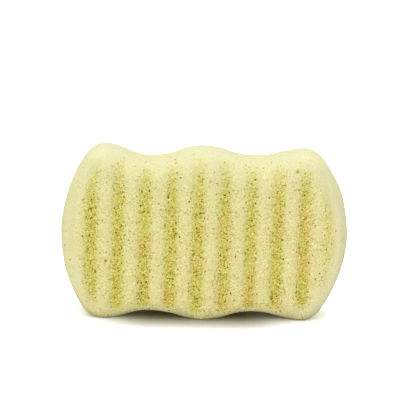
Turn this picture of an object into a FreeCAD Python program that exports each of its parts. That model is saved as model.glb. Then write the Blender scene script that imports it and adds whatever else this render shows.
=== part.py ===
"""Konjac bath sponge with a scalloped outline and a ribbed washing face.

One block of moulded foam, standing on its long edge as it does beside a basin.
X runs along the length, Y from the ribbed face to the flat back, Z upwards.
The origin is on the standing surface, below the middle of the block. Millimetres.
"""

import FreeCAD
import Part

import math
import os

Vector = FreeCAD.Vector

# Block
LENGTH = 130.0
HEIGHT = 77.0
THICKNESS = 32.0

# Outline: three lobes along each long edge, and bulging ends
WAVE_DEPTH = 4.1
CORNER_RADIUS = 11.5
END_BULGE = 8.0

# Rounded edges
RIM_RADIUS = 11.0
BACK_RADIUS = 3.5
EDGE_MARGIN = 0.5

# Ribs across the washing face, and how far their crests lie below the top of the rim
RIB_PITCH = 12.0
GROOVE_DEPTH = 1.8
GROOVE_SHIFT = -2.8
CREST_DROP = 0.4

# The lobes that it stands on are pressed flat
FOOT_FLAT = 0.5

# Room around the block for the bodies that trim it
TRIM_ROOM = 10.0

# Worked out from the sizes above
outline_height = HEIGHT + FOOT_FLAT
mid_z = HEIGHT - outline_height / 2
lobe_pitch = LENGTH / 2 - CORNER_RADIUS - END_BULGE
back_y = THICKNESS / 2
crest_y = -THICKNESS / 2
rim_y = crest_y - CREST_DROP
rim_radius = min(RIM_RADIUS, CORNER_RADIUS - EDGE_MARGIN)


def wave_radius(half_pitch, depth):
    """Radius of two equal tangent arcs that step by depth over half a pitch."""
    return (half_pitch**2 + depth**2) / (4 * depth)


def arc(place, centre, radius, start, end):
    """Arc from start to end, in degrees, on the plane that place(u, v) maps to."""
    points = []
    for share in (0.0, 0.5, 1.0):
        angle = math.radians(start + (end - start) * share)
        u = centre[0] + radius * math.cos(angle)
        v = centre[1] + radius * math.sin(angle)
        points.append(place(u, v))
    return Part.Arc(*points).toShape()


def on_outline(u, v):
    """Point of the outline's plane, at the top of the rim."""
    return Vector(u, rim_y, mid_z + v)


def on_section(u, v):
    """Point of the rib section's plane, below the block."""
    return Vector(u, v, -TRIM_ROOM)


def long_edge(side):
    """Lobes and hollows of the upper (side 1) or lower (side -1) edge, between its outer crests."""
    half = lobe_pitch / 2
    radius = wave_radius(half, WAVE_DEPTH)
    lean = math.degrees(math.asin(half / (2 * radius)))
    lobe_v = outline_height / 2 - radius
    hollow_v = outline_height / 2 - WAVE_DEPTH + radius

    def place(u, v):
        return on_outline(u, side * v)

    edges = [arc(place, (-lobe_pitch, lobe_v), radius, 90, 90 - lean)]
    edges.append(arc(place, (-half, hollow_v), radius, 270 - lean, 270 + lean))
    edges.append(arc(place, (0, lobe_v), radius, 90 + lean, 90 - lean))
    edges.append(arc(place, (half, hollow_v), radius, 270 - lean, 270 + lean))
    edges.append(arc(place, (lobe_pitch, lobe_v), radius, 90 + lean, 90))
    return edges


def short_end(side):
    """Corners and bulging arc of the right (side 1) or left (side -1) end."""
    corner_v = outline_height / 2 - CORNER_RADIUS
    reach = CORNER_RADIUS + END_BULGE
    radius = (reach**2 + corner_v**2 - CORNER_RADIUS**2) / (2 * END_BULGE)
    end_u = LENGTH / 2 - radius
    lean = math.degrees(math.atan2(corner_v, lobe_pitch - end_u))

    def place(u, v):
        return on_outline(side * u, v)

    edges = [arc(place, (lobe_pitch, corner_v), CORNER_RADIUS, 90, lean)]
    edges.append(arc(place, (end_u, 0), radius, lean, -lean))
    edges.append(arc(place, (lobe_pitch, -corner_v), CORNER_RADIUS, -lean, -90))
    return edges


def rounded_block():
    """Scalloped block with a full rim at the front and a smaller one at the back."""
    edges = long_edge(1) + short_end(1) + long_edge(-1) + short_end(-1)
    outline = Part.Wire(Part.__sortEdges__(edges))
    block = Part.Face(outline).extrude(Vector(0, back_y - rim_y, 0))
    front = [e for e in block.Edges if e.BoundBox.YMax < rim_y + EDGE_MARGIN]
    block = block.makeFillet(rim_radius, front)
    back = [e for e in block.Edges if e.BoundBox.YMin > back_y - EDGE_MARGIN]
    return block.makeFillet(BACK_RADIUS, back)


def ribbed_body():
    """Upright body that trims the block: a wave of tangent arcs in front, and open room behind."""
    half = RIB_PITCH / 2
    radius = wave_radius(half, GROOVE_DEPTH)
    lean = math.degrees(math.asin(half / (2 * radius)))
    groove_v = crest_y + GROOVE_DEPTH - radius
    rib_v = crest_y + radius
    count = math.ceil((LENGTH / 2 + abs(GROOVE_SHIFT)) / RIB_PITCH)
    edges = []
    for step in range(-count, count + 1):
        groove_u = GROOVE_SHIFT + step * RIB_PITCH
        edges.append(arc(on_section, (groove_u, groove_v), radius, 90 + lean, 90 - lean))
        edges.append(arc(on_section, (groove_u + half, rib_v), radius, 270 - lean, 270 + lean))
    start = edges[0].Vertexes[0].Point
    end = edges[-1].Vertexes[-1].Point
    room_y = back_y + TRIM_ROOM
    behind = [on_section(end.x, room_y), on_section(start.x, room_y)]
    edges.append(Part.makePolygon([end] + behind + [start]))
    return Part.Face(Part.Wire(edges)).extrude(Vector(0, 0, HEIGHT + 2 * TRIM_ROOM))


def sponge_body():
    """The whole block, with the three lobes that it stands on pressed flat."""
    body = rounded_block().common(ribbed_body())
    room = TRIM_ROOM + LENGTH / 2
    corner = Vector(-room, -room, -TRIM_ROOM)
    floor = Part.makeBox(2 * room, 2 * room, TRIM_ROOM, corner)
    return body.cut(floor)


def export(name, shape):
    """Checks one piece and writes it as one file."""
    solids = shape.Solids
    print(name, "solids", len(solids), "valid", shape.isValid(), "faces", len(shape.Faces))
    print("  volume", round(shape.Volume / 1000, 2), "cm3, box", shape.BoundBox)
    solids[0].exportStep(os.path.join("parts", name + ".step"))


os.makedirs("parts", exist_ok=True)
export("sponge_body", sponge_body())
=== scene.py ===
import math

import bpy
import numpy as np
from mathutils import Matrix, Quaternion, Vector
from mathutils.kdtree import KDTree


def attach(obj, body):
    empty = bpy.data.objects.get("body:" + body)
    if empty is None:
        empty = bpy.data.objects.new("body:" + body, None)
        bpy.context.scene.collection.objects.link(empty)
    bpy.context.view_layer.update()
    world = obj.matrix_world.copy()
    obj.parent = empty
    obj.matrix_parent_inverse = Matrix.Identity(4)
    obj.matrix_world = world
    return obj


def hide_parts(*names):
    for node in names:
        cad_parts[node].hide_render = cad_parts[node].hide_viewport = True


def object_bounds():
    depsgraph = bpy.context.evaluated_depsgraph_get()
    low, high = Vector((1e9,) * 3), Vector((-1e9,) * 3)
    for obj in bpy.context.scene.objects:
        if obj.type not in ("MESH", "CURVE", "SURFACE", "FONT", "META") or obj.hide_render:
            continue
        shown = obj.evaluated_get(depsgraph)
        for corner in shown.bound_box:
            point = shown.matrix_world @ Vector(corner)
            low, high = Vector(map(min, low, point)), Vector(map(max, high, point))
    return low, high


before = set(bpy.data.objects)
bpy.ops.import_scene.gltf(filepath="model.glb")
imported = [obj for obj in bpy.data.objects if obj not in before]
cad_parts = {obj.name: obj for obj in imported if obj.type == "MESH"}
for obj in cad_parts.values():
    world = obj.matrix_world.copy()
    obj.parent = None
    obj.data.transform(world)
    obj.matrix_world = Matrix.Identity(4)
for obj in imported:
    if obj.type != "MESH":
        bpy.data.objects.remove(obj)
cad_low, cad_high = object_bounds()

# Sponge
# One block of konjac foam, cast as a gel in a ribbed mould, frozen, thawed and dried.
# The mould leaves a smooth pale skin on the rims and rib tops, and the ice leaves open pores,
# which lie closest together down in the grooves. Nothing is fastened to it.
MESH_STEP = 0.0003
MERGE_DISTANCE = 1e-6
RELAX_SHARE = 0.5
RELAX_ROUNDS = 6
SETTLE_ROUNDS = 2


def apply_modifier(piece, kind, **settings):
    """Adds one modifier to the active piece and applies it."""
    modifier = piece.modifiers.new(kind.lower(), kind)
    for name, value in settings.items():
        setattr(modifier, name, value)
    bpy.ops.object.modifier_apply(modifier=modifier.name)


def vertex_values(piece, name):
    """Three numbers for each vertex: its place (co) or its direction (normal)."""
    values = np.empty(len(piece.data.vertices) * 3, np.float32)
    piece.data.vertices.foreach_get(name, values)
    return values.reshape(-1, 3).astype(float)


def move_vertices(piece, places):
    """Puts every vertex of the piece at its new place."""
    piece.data.vertices.foreach_set("co", places.astype(np.float32).ravel())
    piece.data.update()


def ease(value, start, end):
    """Rises smoothly from 0 at start to 1 at end."""
    share = np.clip((value - start) / (end - start), 0, 1)
    return share * share * (3 - 2 * share)


def between(ends, share):
    """The value at that share of the way between two ends."""
    return ends[0] + (ends[1] - ends[0]) * share


# The cast block, as a fine even mesh
bpy.ops.object.select_all(action="DESELECT")
sponge = bpy.data.objects.new("konjac_sponge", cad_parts["sponge_body"].data.copy())
bpy.context.scene.collection.objects.link(sponge)
bpy.context.view_layer.objects.active = sponge
sponge.select_set(True)
sponge.data.materials.clear()
bpy.ops.object.mode_set(mode="EDIT")
bpy.ops.mesh.select_all(action="SELECT")
bpy.ops.mesh.remove_doubles(threshold=MERGE_DISTANCE)
bpy.ops.object.mode_set(mode="OBJECT")
apply_modifier(sponge, "REMESH", mode="VOXEL", voxel_size=MESH_STEP)
apply_modifier(sponge, "SMOOTH", factor=RELAX_SHARE, iterations=RELAX_ROUNDS)

# Drying pulls the outline a little out of true: a place, how far the pull reaches, and the pull
OUTLINE_PULLS = (
    {"place": (0.056, 0.012), "reach": 0.020, "pull": (-0.0006, 0.0008)},
    {"place": (-0.058, 0.022), "reach": 0.018, "pull": (0.0003, 0.0)},
    {"place": (-0.029, 0.075), "reach": 0.013, "pull": (0.0, -0.0011)},
    {"place": (0.037, 0.075), "reach": 0.009, "pull": (0.0, -0.0009)},
    {"place": (0.054, 0.072), "reach": 0.008, "pull": (0.0004, -0.0007)},
    {"place": (0.061, 0.060), "reach": 0.010, "pull": (0.0006, 0.0002)},
    {"place": (0.065, 0.040), "reach": 0.016, "pull": (0.0005, 0.0)},
    {"place": (-0.017, 0.004), "reach": 0.012, "pull": (0.0, -0.0002)},
    {"place": (-0.045, 0.077), "reach": 0.006, "pull": (0.0, 0.0007)},
)
x, y, z = vertex_values(sponge, "co").T
for spot in OUTLINE_PULLS:
    away = (x - spot["place"][0]) ** 2 + (z - spot["place"][1]) ** 2
    share = np.exp(-away / spot["reach"] ** 2)
    x += spot["pull"][0] * share
    z += spot["pull"][1] * share

# How far each vertex lies in from the scalloped outline, seen from the front, and from its ends
WALL_SLICE = 0.0006
LOBE_PITCH = 0.0455
in_wall = np.abs(y) < WALL_SLICE
in_end_wall = in_wall & (np.abs(x) > LOBE_PITCH)


def outline_near(chosen):
    """For each vertex, the nearest of the chosen ones and how far off it is, seen from the front."""
    outline = KDTree(np.count_nonzero(chosen))
    for index in np.flatnonzero(chosen):
        outline.insert((x[index], 0, z[index]), index)
    outline.balance()
    found = [outline.find((x[index], 0, z[index])) for index in range(len(x))]
    return np.array([hit[1] for hit in found]), np.array([hit[2] for hit in found])


nearest, inset = outline_near(in_wall)
end_inset = outline_near(in_end_wall)[1]
inward = -vertex_values(sponge, "normal")[nearest][:, [0, 2]]
inward /= np.linalg.norm(inward, axis=1)[:, None]

# Rim: the cast edge slumps to a wider round along the top, and shrinks to a tighter one at the foot.
# Each vertex is laid on the new round by its length along the cast surface, counted from the wall.
CAST_RIM = 0.011
CAST_WALL = -0.0054
ROLL_RISE = (0.012, 0.070)
ROLL_WIDTHS = (0.0070, 0.0125)
ROLL_STARTS = (-0.0090, -0.0035)
RIM_MIDDLE = (0.6, 0.9)
QUARTER_TURN = math.pi / 2
height = cad_high.z - cad_low.z
crest_y = cad_low.y
trim = math.asin((CAST_WALL - crest_y) / CAST_RIM)


def rim_angle(reach):
    """Angle round the cast rim, from the wall to that far in from the outline."""
    return np.arccos(1 - np.minimum(reach, CAST_RIM) / CAST_RIM)


def rim_length(bend, reach):
    """Length from the wall along the cast rim, and along the face past its trimmed edge."""
    return np.where(bend < trim, CAST_RIM * bend, reach + CAST_RIM * (trim - 1 + math.cos(trim)))


rise = ease(z, *ROLL_RISE)
roll_width = between(ROLL_WIDTHS, rise)
roll_start = between(ROLL_STARTS, rise)
wall_part = roll_start - CAST_WALL
angle = np.arcsin(np.clip((CAST_WALL - y) / CAST_RIM, 0, 1))
angle = between((angle, rim_angle(inset)), ease(angle, *RIM_MIDDLE))
passed = np.where(y > CAST_WALL, roll_start - y, wall_part + rim_length(angle, inset))
roll_length = wall_part + rim_length(rim_angle(roll_width), roll_width)
turn = np.clip(passed / roll_length, 0, 1) * QUARTER_TURN
front = (y < 0) & (passed > 0)
cast_inset = np.where(inset < CAST_RIM, CAST_RIM * (1 - np.cos(angle)), inset)
rolling = (y < 0) & (turn < QUARTER_TURN)
slump = np.where(rolling, roll_width * (1 - np.cos(turn)) - cast_inset, 0)
rolled_y = roll_start - np.minimum(passed, 0) - (roll_start - crest_y) * np.sin(turn)
face_y = np.where(y < 0, rolled_y, y)
x += inward[:, 0] * slump
z += inward[:, 1] * slump

# Lobes: in front of the flats that it stands on, the rim springs back to a round
LOBE_REACH = 0.0075
LOBE_LIFT = 0.0007
LIFT_AT_RIM = (0.0, 0.2)
LIFT_HEIGHT = (0.003, 0.010)
from_lobe = (x - LOBE_PITCH * np.round(x / LOBE_PITCH)) / LOBE_REACH
lift = LOBE_LIFT * from_lobe**2 * np.exp(1 - from_lobe**2)
z += lift * ease(turn, *LIFT_AT_RIM) * (1 - ease(z, *LIFT_HEIGHT)) * front

# Ribs: upright grooves that lean a little, and run out towards the top, the foot and the ends.
# The last one, at the right end, is shallower than the rest.
RIB_PITCH = 0.012
RIB_LEAN = math.tan(math.radians(0.6))
GROOVE_DEPTH = 0.0018
GROOVE_SHIFT = -0.0028
FADE_AT_END = (0.0015, 0.006)
FADE_AT_RIM = (0.3, 1.2)
LEAST_GROOVE = 0.2
TOP_RUN_OUT = 0.026
FOOT_RUN_OUT = 0.009
RIBS_TO_LAST = 4.5
LAST_GROOVE = 0.5
half_pitch = RIB_PITCH / 2
quarter_pitch = half_pitch / 2
last_crest = GROOVE_SHIFT + RIBS_TO_LAST * RIB_PITCH
groove_radius = (half_pitch**2 + GROOVE_DEPTH**2) / (4 * GROOVE_DEPTH)
upright_x = x - RIB_LEAN * (z - height / 2)
off = np.abs((upright_x - GROOVE_SHIFT + half_pitch) % RIB_PITCH - half_pitch)
hollow = GROOVE_DEPTH - groove_radius + np.sqrt(groove_radius**2 - np.minimum(off, quarter_pitch) ** 2)
crest = groove_radius - np.sqrt(groove_radius**2 - np.minimum(half_pitch - off, quarter_pitch) ** 2)
across = np.where(off < quarter_pitch, hollow, crest) / GROOVE_DEPTH
on_face = ease(turn, *FADE_AT_RIM) * front
below_top = height - z
fade = ease(end_inset, *FADE_AT_END) * on_face
fade *= np.clip(LEAST_GROOVE + below_top / TOP_RUN_OUT, 0, 1)
fade *= np.clip(LEAST_GROOVE + z / FOOT_RUN_OUT, 0, 1)
fade *= np.where(upright_x > last_crest, LAST_GROOVE, 1)
y = face_y + GROOVE_DEPTH * fade * across
move_vertices(sponge, np.column_stack([x, y, z]))
apply_modifier(sponge, "SMOOTH", factor=RELAX_SHARE, iterations=SETTLE_ROUNDS)

# Foam is never quite even: broad lumps, and a fine grain
LUMPS = (
    {"name": "broad_lumps", "size": 0.018, "strength": 0.0007},
    {"name": "foam_grain", "size": 0.0009, "strength": 0.0002},
)
for lump in LUMPS:
    clouds = bpy.data.textures.new(lump["name"], "CLOUDS")
    clouds.noise_scale = lump["size"]
    apply_modifier(
        sponge, "DISPLACE", texture=clouds, texture_coords="LOCAL", strength=lump["strength"]
    )

# Skin and painted light: where the foam lay against the mould it is closed and pale, and it is open in the
# grooves
END_SKIN_AND_LIGHT = (0.0045, 0.0095)
LEFT_END_SKIN_AND_LIGHT = 0.55
RIGHT_END_SKIN_AND_LIGHT = 0.7
TOP_SKIN_AND_LIGHT_FALL = 0.010
TOP_GROOVE_OPEN = 0.6
FOOT_HEIGHT = (0.0, 0.006)
FOOT_RIM = (0.0015, 0.0050)
FOOT_RIM_TOP = (0.010, 0.018)
FOOT_SKIN_AND_LIGHT = 0.5
FOOT_GROOVE_CLOSED = 0.6
# Painted light: the ends are painted paler, where light comes through their thin rims, the right end more.
end_skin_and_light = (1 - ease(end_inset, *END_SKIN_AND_LIGHT)) * ease(z, *FOOT_HEIGHT)
# The top is partly pale skin and partly painted light, where light from above falls, fading down the face.
top_skin_and_light = np.exp(-below_top / TOP_SKIN_AND_LIGHT_FALL) * (1 - TOP_GROOVE_OPEN * across**2 * on_face)
skin_and_light = np.maximum(np.where(x > 0, RIGHT_END_SKIN_AND_LIGHT, LEFT_END_SKIN_AND_LIGHT) * end_skin_and_light, top_skin_and_light)
# Painted light: the rim along the foot is painted paler where it turns down into shade.
foot_rim = (1 - ease(inset, *FOOT_RIM)) * (1 - ease(z, *FOOT_RIM_TOP)) * front
skin_and_light = np.maximum(skin_and_light, FOOT_SKIN_AND_LIGHT * foot_rim)
groove = across**2 * fade * (1 - FOOT_GROOVE_CLOSED * foot_rim)

# Pores: three kinds, the smallest first, each with small ones the most common
PORE_SEED = 7
PORES = (
    {"count": 11400, "radius": (0.00022, 0.00032), "depth": 0.35, "shade": 0.35},
    {"count": 4400, "radius": (0.00028, 0.00042), "depth": 0.7, "shade": 0.75},
    {"count": 600, "radius": (0.00036, 0.00052), "depth": 0.8, "shade": 1.0},
)
LEAST_CROWDED = 0.12
FOOT_CROWDED = 0.45
END_CLOSED = 0.85
TOP_CLOSED = 0.95
TOP_CLOSED_FALL = 0.016
LEAST_SHADE = 0.35
CREST_SHADE = 0.8
PORE_FLOOR = 1.8
random = np.random.default_rng(PORE_SEED)
places = vertex_values(sponge, "co")
normals = vertex_values(sponge, "normal")
crowding = between((LEAST_CROWDED, 1), np.maximum(groove, FOOT_CROWDED * foot_rim))
crowding *= (1 - END_CLOSED * end_skin_and_light) * (1 - TOP_CLOSED * np.exp(-below_top / TOP_CLOSED_FALL))
surface = KDTree(len(places))
for index, place in enumerate(places):
    surface.insert(place, index)
surface.balance()
pore = np.zeros(len(places))
depth = np.zeros(len(places))
for kind in PORES:
    centres = random.choice(len(places), kind["count"], replace=False, p=crowding / crowding.sum())
    radii = between(kind["radius"], random.random(kind["count"]) ** 2)
    shades = kind["shade"] * between((LEAST_SHADE, 1), random.random(kind["count"]))
    shades *= between((CREST_SHADE, 1), groove[centres])
    for centre, radius, shade in zip(centres, radii, shades):
        for place, index, distance in surface.find_range(places[centre], radius):
            share = 1 - (distance / radius) ** 2
            pore[index] = max(pore[index], shade * min(1, PORE_FLOOR * share))
            depth[index] = max(depth[index], share**2 * radius * kind["depth"])

# Marks from the casting: two spots, and the rim of a burst bubble
MARKS = (
    {"place": (0.0415, 0.0690), "ring": 0.0, "width": 0.0013, "shade": 0.5, "depth": 0.0003},
    {"place": (-0.0441, 0.0271), "ring": 0.0, "width": 0.0010, "shade": 0.6, "depth": 0.0003},
    {"place": (0.0029, 0.0208), "ring": 0.0029, "width": 0.0004, "shade": 0.22, "depth": 0.0002},
)
for mark in MARKS:
    away = np.hypot(places[:, 0] - mark["place"][0], places[:, 2] - mark["place"][1])
    share = np.clip(1 - ((away - mark["ring"]) / mark["width"]) ** 2, 0, 1) * on_face
    pore = np.maximum(pore, mark["shade"] * share)
    depth = np.maximum(depth, mark["depth"] * share)
places -= normals * depth[:, None]
places[:, 2] = np.maximum(places[:, 2], 0)
move_vertices(sponge, places)
bpy.ops.object.shade_smooth()

# What the foam's colours go by, at each vertex
for name, values in (("groove", groove), ("skin_and_light", skin_and_light), ("pore", pore)):
    attribute = sponge.data.attributes.new(name, "FLOAT", "POINT")
    attribute.data.foreach_set("value", values.astype(np.float32))

# Flat map: front, back, top, bottom and two ends, laid out side by side on one sheet. They part
# halfway round the rims and the corners.
SHEET_SIDE = 0.21
BACK_INSET = 0.00103
CORNER_RISE = 0.02725
FRONT_TURN = math.pi / 4
corners = np.empty(len(sponge.data.loops), np.int32)
sponge.data.loops.foreach_get("vertex_index", corners)
corners = corners.reshape(-1, 4)
in_front = (turn[corners].mean(1) > FRONT_TURN) & front[corners].all(1)
in_back = (inset[corners].mean(1) > BACK_INSET) & (y[corners].mean(1) > 0)
face_x = x[corners].mean(1)
face_z = z[corners].mean(1) - height / 2
in_end = np.abs(face_x) - LOBE_PITCH > np.abs(face_z) - CORNER_RISE
sheets = (
    {"faces": in_front, "across": x, "up": z, "corner": (0.069, 0.003)},
    {"faces": in_back, "across": -x, "up": z, "corner": (0.069, 0.083)},
    {"faces": ~in_end & (face_z > 0), "across": x, "up": y, "corner": (0.069, 0.182)},
    {"faces": ~in_end, "across": y, "up": x, "corner": (0.155, 0.069)},
    {"faces": in_end & (face_x > 0), "across": y, "up": z, "corner": (0.191, 0.003)},
    {"faces": in_end, "across": -y, "up": z, "corner": (0.191, 0.083)},
)
flat = np.empty((*corners.shape, 2))
unplaced = np.ones(len(corners), bool)
for sheet in sheets:
    placed = sheet["faces"] & unplaced
    chosen = corners[placed]
    spread = np.stack([sheet["across"][chosen], sheet["up"][chosen]], axis=-1)
    flat[placed] = (spread + sheet["corner"]) / SHEET_SIDE
    unplaced &= ~placed
flat_map = sponge.data.uv_layers.new(name="OFBake")
flat_map.data.foreach_set("uv", flat.astype(np.float32).ravel())

# Foam: cream on the ribs, olive yellow in the grooves, pale where it has a skin, dark in the pores
# Part is painted light: shade in grooves and pores, highlights on cell walls, light on top, ends and foot
# rim.
CREAM = ((229, 224, 158), (234, 221, 161))
OLIVE_YELLOW = ((215, 206, 93), (217, 197, 99))
PALE_SKIN_AND_LIGHT = (231, 228, 188)
PORE_EDGE = ((192, 178, 60), (201, 173, 63))
SKIN_PORE = (208, 203, 130)
PORE_SHADE = (104, 85, 4)
STRUT_HIGHLIGHT = (255, 250, 190)
BLOTCH_SCALE = 75.0
PATCH_SCALE = 220.0
CELL_SCALE = 2600.0
NOISE_DETAIL = 2.0
BUMP_STRENGTH = 0.4
BUMP_DISTANCE = 0.0002

# Ranges: a low and a high value, and what they turn into
TINT_ALONG = (-0.06, 0.06, -0.1, 0.03)
TINT_UP = (0.035, 0.075, 0.0, 0.15)
TINT_SPREAD = (0.38, 0.62, 0.0, 1.0)
PATCH_GRAIN = (0.4, 0.6, 0.15, 0.6)
SKIN_GRAIN = (0.1, 0.9, 1.0, 0.25)
SKIN_STRUTS = (0.1, 0.9, 0.85, 0.25)
STRUT_CELLS = (0.74, 1.0, 0.0, 1.15)
FINE_CELLS = (0.0, 0.22, 0.85, 0.0)
PORE_SPREAD = (0.05, 0.8, 0.0, 1.0)
EDGE_SPREAD = (0.0, 0.5, 0.0, 1.0)
SHADE_SPREAD = (0.35, 1.0, 0.0, 1.0)


def painted(red, green, blue):
    """A colour as it looks on a screen, 0 to 255, as light amounts."""
    levels = [level / 255 for level in (red, green, blue)]
    lights = [v / 12.92 if v <= 0.04045 else ((v + 0.055) / 1.055) ** 2.4 for v in levels]
    return (*lights, 1)


foam = bpy.data.materials.new("konjac_foam")
foam.use_nodes = True
nodes = foam.node_tree.nodes
links = foam.node_tree.links
nodes.clear()


def feed(socket, value):
    """Gives a node's input another node's output, or a plain value."""
    if isinstance(value, bpy.types.NodeSocket):
        links.new(value, socket)
    else:
        socket.default_value = value


def add_node(kind, **inputs):
    """Adds a node and fills the inputs of those names."""
    made = nodes.new(kind)
    for name, value in inputs.items():
        feed(made.inputs[name.replace("_", " ")], value)
    return made


def reading(name):
    """The piece's own values of that name."""
    made = nodes.new("ShaderNodeAttribute")
    made.attribute_name = name
    return made.outputs["Fac"]


def math_of(operation, first, second):
    """One step of arithmetic on two values."""
    made = nodes.new("ShaderNodeMath")
    made.operation = operation
    feed(made.inputs[0], first)
    feed(made.inputs[1], second)
    return made.outputs[0]


def mixed(share, first, second):
    """One colour that turns into another by a share. The node's colours are inputs 6 and 7 and output 2."""
    made = nodes.new("ShaderNodeMix")
    made.data_type = "RGBA"
    feed(made.inputs[0], share)
    feed(made.inputs[6], first)
    feed(made.inputs[7], second)
    return made.outputs[2]


def ranged(value, low, high, to_low, to_high):
    """A value's range stretched to another, with its ends held."""
    made = add_node(
        "ShaderNodeMapRange", Value=value, From_Min=low, From_Max=high, To_Min=to_low, To_Max=to_high
    )
    return made.outputs[0]


place_on_piece = add_node("ShaderNodeTexCoord").outputs["Object"]
blotches = add_node("ShaderNodeTexNoise", Vector=place_on_piece, Scale=BLOTCH_SCALE, Detail=NOISE_DETAIL)
patches = add_node("ShaderNodeTexNoise", Vector=place_on_piece, Scale=PATCH_SCALE, Detail=NOISE_DETAIL)
cells = add_node("ShaderNodeTexVoronoi", Vector=place_on_piece, Scale=CELL_SCALE)
cell = add_node("ShaderNodeSeparateColor", Color=cells.outputs["Color"]).outputs[0]

groove_here = reading("groove")
skin_and_light_here = reading("skin_and_light")
split_place = add_node("ShaderNodeSeparateXYZ", Vector=place_on_piece)
tint = math_of("ADD", blotches.outputs[0], ranged(split_place.outputs["X"], *TINT_ALONG))
tint = math_of("SUBTRACT", tint, ranged(split_place.outputs["Z"], *TINT_UP))
tint = ranged(tint, *TINT_SPREAD)
rib_colour = mixed(tint, painted(*CREAM[0]), painted(*CREAM[1]))
# The grooves' olive yellow is partly the open foam's own colour and partly painted shade and bounced light
# down in the recesses.
groove_colour_and_shade = mixed(tint, painted(*OLIVE_YELLOW[0]), painted(*OLIVE_YELLOW[1]))
body_colour = mixed(groove_here, rib_colour, groove_colour_and_shade)
# Pale skin, with the painted light of the top, the ends and the foot rim
body_colour = mixed(skin_and_light_here, body_colour, painted(*PALE_SKIN_AND_LIGHT))
# Painted highlights on the foam's cell walls, and painted shade in its finest cells, fewer on the skin;
# both are bumps too.
grain_and_fine_shade = math_of("MAXIMUM", groove_here, ranged(patches.outputs[0], *PATCH_GRAIN))
grain_and_fine_shade = math_of("MULTIPLY", grain_and_fine_shade, ranged(skin_and_light_here, *SKIN_GRAIN))
lively = ranged(skin_and_light_here, *SKIN_STRUTS)
strut_highlight_share = math_of("MULTIPLY", ranged(cell, *STRUT_CELLS), lively)
body_colour = mixed(strut_highlight_share, body_colour, painted(*STRUT_HIGHLIGHT))
fine_cell_shade = math_of("MULTIPLY", ranged(cell, *FINE_CELLS), grain_and_fine_shade)
# Painted shade in the pores: dark centres with olive edges, paler on the skin; the cast marks share these
# colours.
pore_share = math_of("MAXIMUM", fine_cell_shade, ranged(reading("pore"), *PORE_SPREAD))
pore_edge = mixed(tint, painted(*PORE_EDGE[0]), painted(*PORE_EDGE[1]))
pore_edge = mixed(skin_and_light_here, pore_edge, painted(*SKIN_PORE))
edge_colour = mixed(ranged(pore_share, *EDGE_SPREAD), body_colour, pore_edge)
colour = mixed(ranged(pore_share, *SHADE_SPREAD), edge_colour, painted(*PORE_SHADE))
relief = math_of("SUBTRACT", strut_highlight_share, fine_cell_shade)
bumps = add_node("ShaderNodeBump", Height=relief, Strength=BUMP_STRENGTH, Distance=BUMP_DISTANCE)
foam_shader = add_node(
    "ShaderNodeBsdfPrincipled",
    Base_Color=colour,
    Roughness=1.0,
    Specular_IOR_Level=0.05,
    Subsurface_Weight=0.15,
    Subsurface_Scale=0.001,
    Subsurface_Radius=(1.0, 0.8, 0.35),
    Normal=bumps.outputs[0],
)
surface_out = nodes.new("ShaderNodeOutputMaterial")
links.new(foam_shader.outputs[0], surface_out.inputs["Surface"])
sponge.data.materials.append(foam)

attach(sponge, "root")
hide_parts("sponge_body")

# Table
# A wide sheet of plain white board that the sponge stands on. It looks white to the camera, a touch
# cool against the yellow light that the sponge throws on it, and keeps the lamps' shadow. A painted
# olive shadow deepens it where the sponge closes it in: in the hollows and in front of the lobes, between
# the two ends.
TABLE_SIDE = 60.0
TABLE_SEEN = (1.75, 1.77, 1.95, 1.0)
TABLE_WHITE = (0.8, 0.8, 0.8, 1.0)
SHADOW_REACH = 0.033
SHADOW_POWER = 3.0
SHADOW_OLIVE = (0.36, 0.33, 0.23, 1.0)
SHADOW_MIDDLE = -0.003
SHADOW_ENDS = (0.020, 0.052)
SHADOW_END_POWER = 1.5
WHITE = (1.0, 1.0, 1.0, 1.0)


def seen_directly():
    """1 for what is looked at, straight or in a reflection, and 0 for what only throws light."""
    sight = nodes.new("ShaderNodeLightPath")
    seen = math_of("MAXIMUM", sight.outputs["Is Camera Ray"], sight.outputs["Is Glossy Ray"])
    return math_of("MAXIMUM", seen, sight.outputs["Is Transmission Ray"])


bpy.ops.object.select_all(action="DESELECT")
bpy.ops.mesh.primitive_plane_add(size=TABLE_SIDE, location=(0, 0, 0))
table = bpy.context.object
table.name = "table"
board = bpy.data.materials.new("white_board")
board.use_nodes = True
nodes = board.node_tree.nodes
links = board.node_tree.links
nodes.clear()
place_on_table = add_node("ShaderNodeTexCoord").outputs["Object"]
sideways = add_node("ShaderNodeSeparateXYZ", Vector=place_on_table).outputs["X"]
from_middle = math_of("ABSOLUTE", math_of("SUBTRACT", sideways, SHADOW_MIDDLE), 0.0)
past_end = ranged(from_middle, *SHADOW_ENDS, 0.0, 1.0)
past_end = math_of("POWER", past_end, SHADOW_END_POWER)
# Painted shadow: how closely the sponge closes in each spot darkens its colour, faded out past the ends.
openness = add_node("ShaderNodeAmbientOcclusion", Distance=SHADOW_REACH).outputs["AO"]
openness = math_of("POWER", openness, SHADOW_POWER)
openness = mixed(past_end, openness, WHITE)
seen_colour = mixed(openness, SHADOW_OLIVE, TABLE_SEEN)
board_colour = mixed(seen_directly(), TABLE_WHITE, seen_colour)
board_shader = add_node("ShaderNodeBsdfDiffuse", Color=board_colour)
board_out = nodes.new("ShaderNodeOutputMaterial")
links.new(board_shader.outputs[0], board_out.inputs["Surface"])
table.data.materials.append(board)

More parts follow.
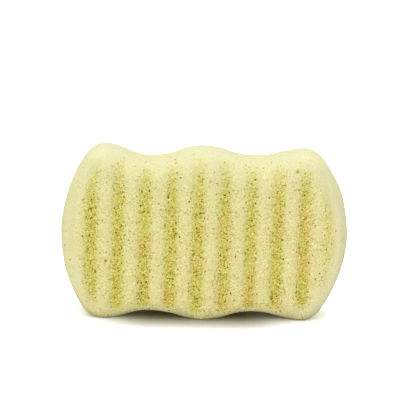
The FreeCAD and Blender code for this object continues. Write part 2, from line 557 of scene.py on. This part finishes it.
# Light
# A white studio: an even dome, a soft lamp overhead and a little behind, and a wide one in front,
# a little to the left. The dome looks white, and gives less light than it shows.
DOME_LEVEL = 0.5
LAMPS = {
    "overhead_lamp": {"level": 0.43, "spread": 30.0, "tilt": (-10.0, 0.0, 0.0)},
    "front_lamp": {"level": 0.48, "spread": 90.0, "tilt": (75.0, 0.0, -12.0)},
}
world = bpy.data.worlds.new("white_studio")
bpy.context.scene.world = world
world.use_nodes = True
nodes = world.node_tree.nodes
links = world.node_tree.links
nodes.clear()
dome_level = ranged(seen_directly(), 0.0, 1.0, DOME_LEVEL, 1.0)
dome = add_node("ShaderNodeBackground", Color=WHITE, Strength=dome_level)
world_out = nodes.new("ShaderNodeOutputWorld")
links.new(dome.outputs[0], world_out.inputs["Surface"])
for name, lamp in LAMPS.items():
    lamp_data = bpy.data.lights.new(name, "SUN")
    lamp_data.energy = lamp["level"] * math.pi
    lamp_data.angle = math.radians(lamp["spread"])
    lamp_object = bpy.data.objects.new(name, lamp_data)
    lamp_object.rotation_euler = [math.radians(angle) for angle in lamp["tilt"]]
    bpy.context.scene.collection.objects.link(lamp_object)

# Camera
# It looks down a little at the washing face, from just left of the middle, through a long lens.
# It is tipped a little to one side, and aims so that the sponge lies low in the picture.
LOOK_AT = Vector((0, 0, 0.038))
DISTANCE = 0.8
TURN = math.radians(1.2)
LOOK_DOWN = math.radians(10.0)
ROLL = math.radians(1.15)
AIM_RIGHT = -0.00185
AIM_UP = 0.01495
LENS = 156.8
forward = Vector((
    math.sin(TURN) * math.cos(LOOK_DOWN),
    math.cos(TURN) * math.cos(LOOK_DOWN),
    -math.sin(LOOK_DOWN),
))
right = forward.cross(Vector((0, 0, 1))).normalized()
up = right.cross(forward)
camera_data = bpy.data.cameras.new("camera")
camera_data.lens = LENS
camera = bpy.data.objects.new("camera", camera_data)
camera.location = LOOK_AT - DISTANCE * forward
aim = LOOK_AT + AIM_RIGHT * right + AIM_UP * up - camera.location
camera.rotation_mode = "QUATERNION"
camera.rotation_quaternion = aim.to_track_quat("-Z", "Y") @ Quaternion((0, 0, 1), ROLL)
bpy.context.scene.collection.objects.link(camera)
bpy.context.scene.camera = camera
bpy.context.scene.view_settings.view_transform = "Standard"
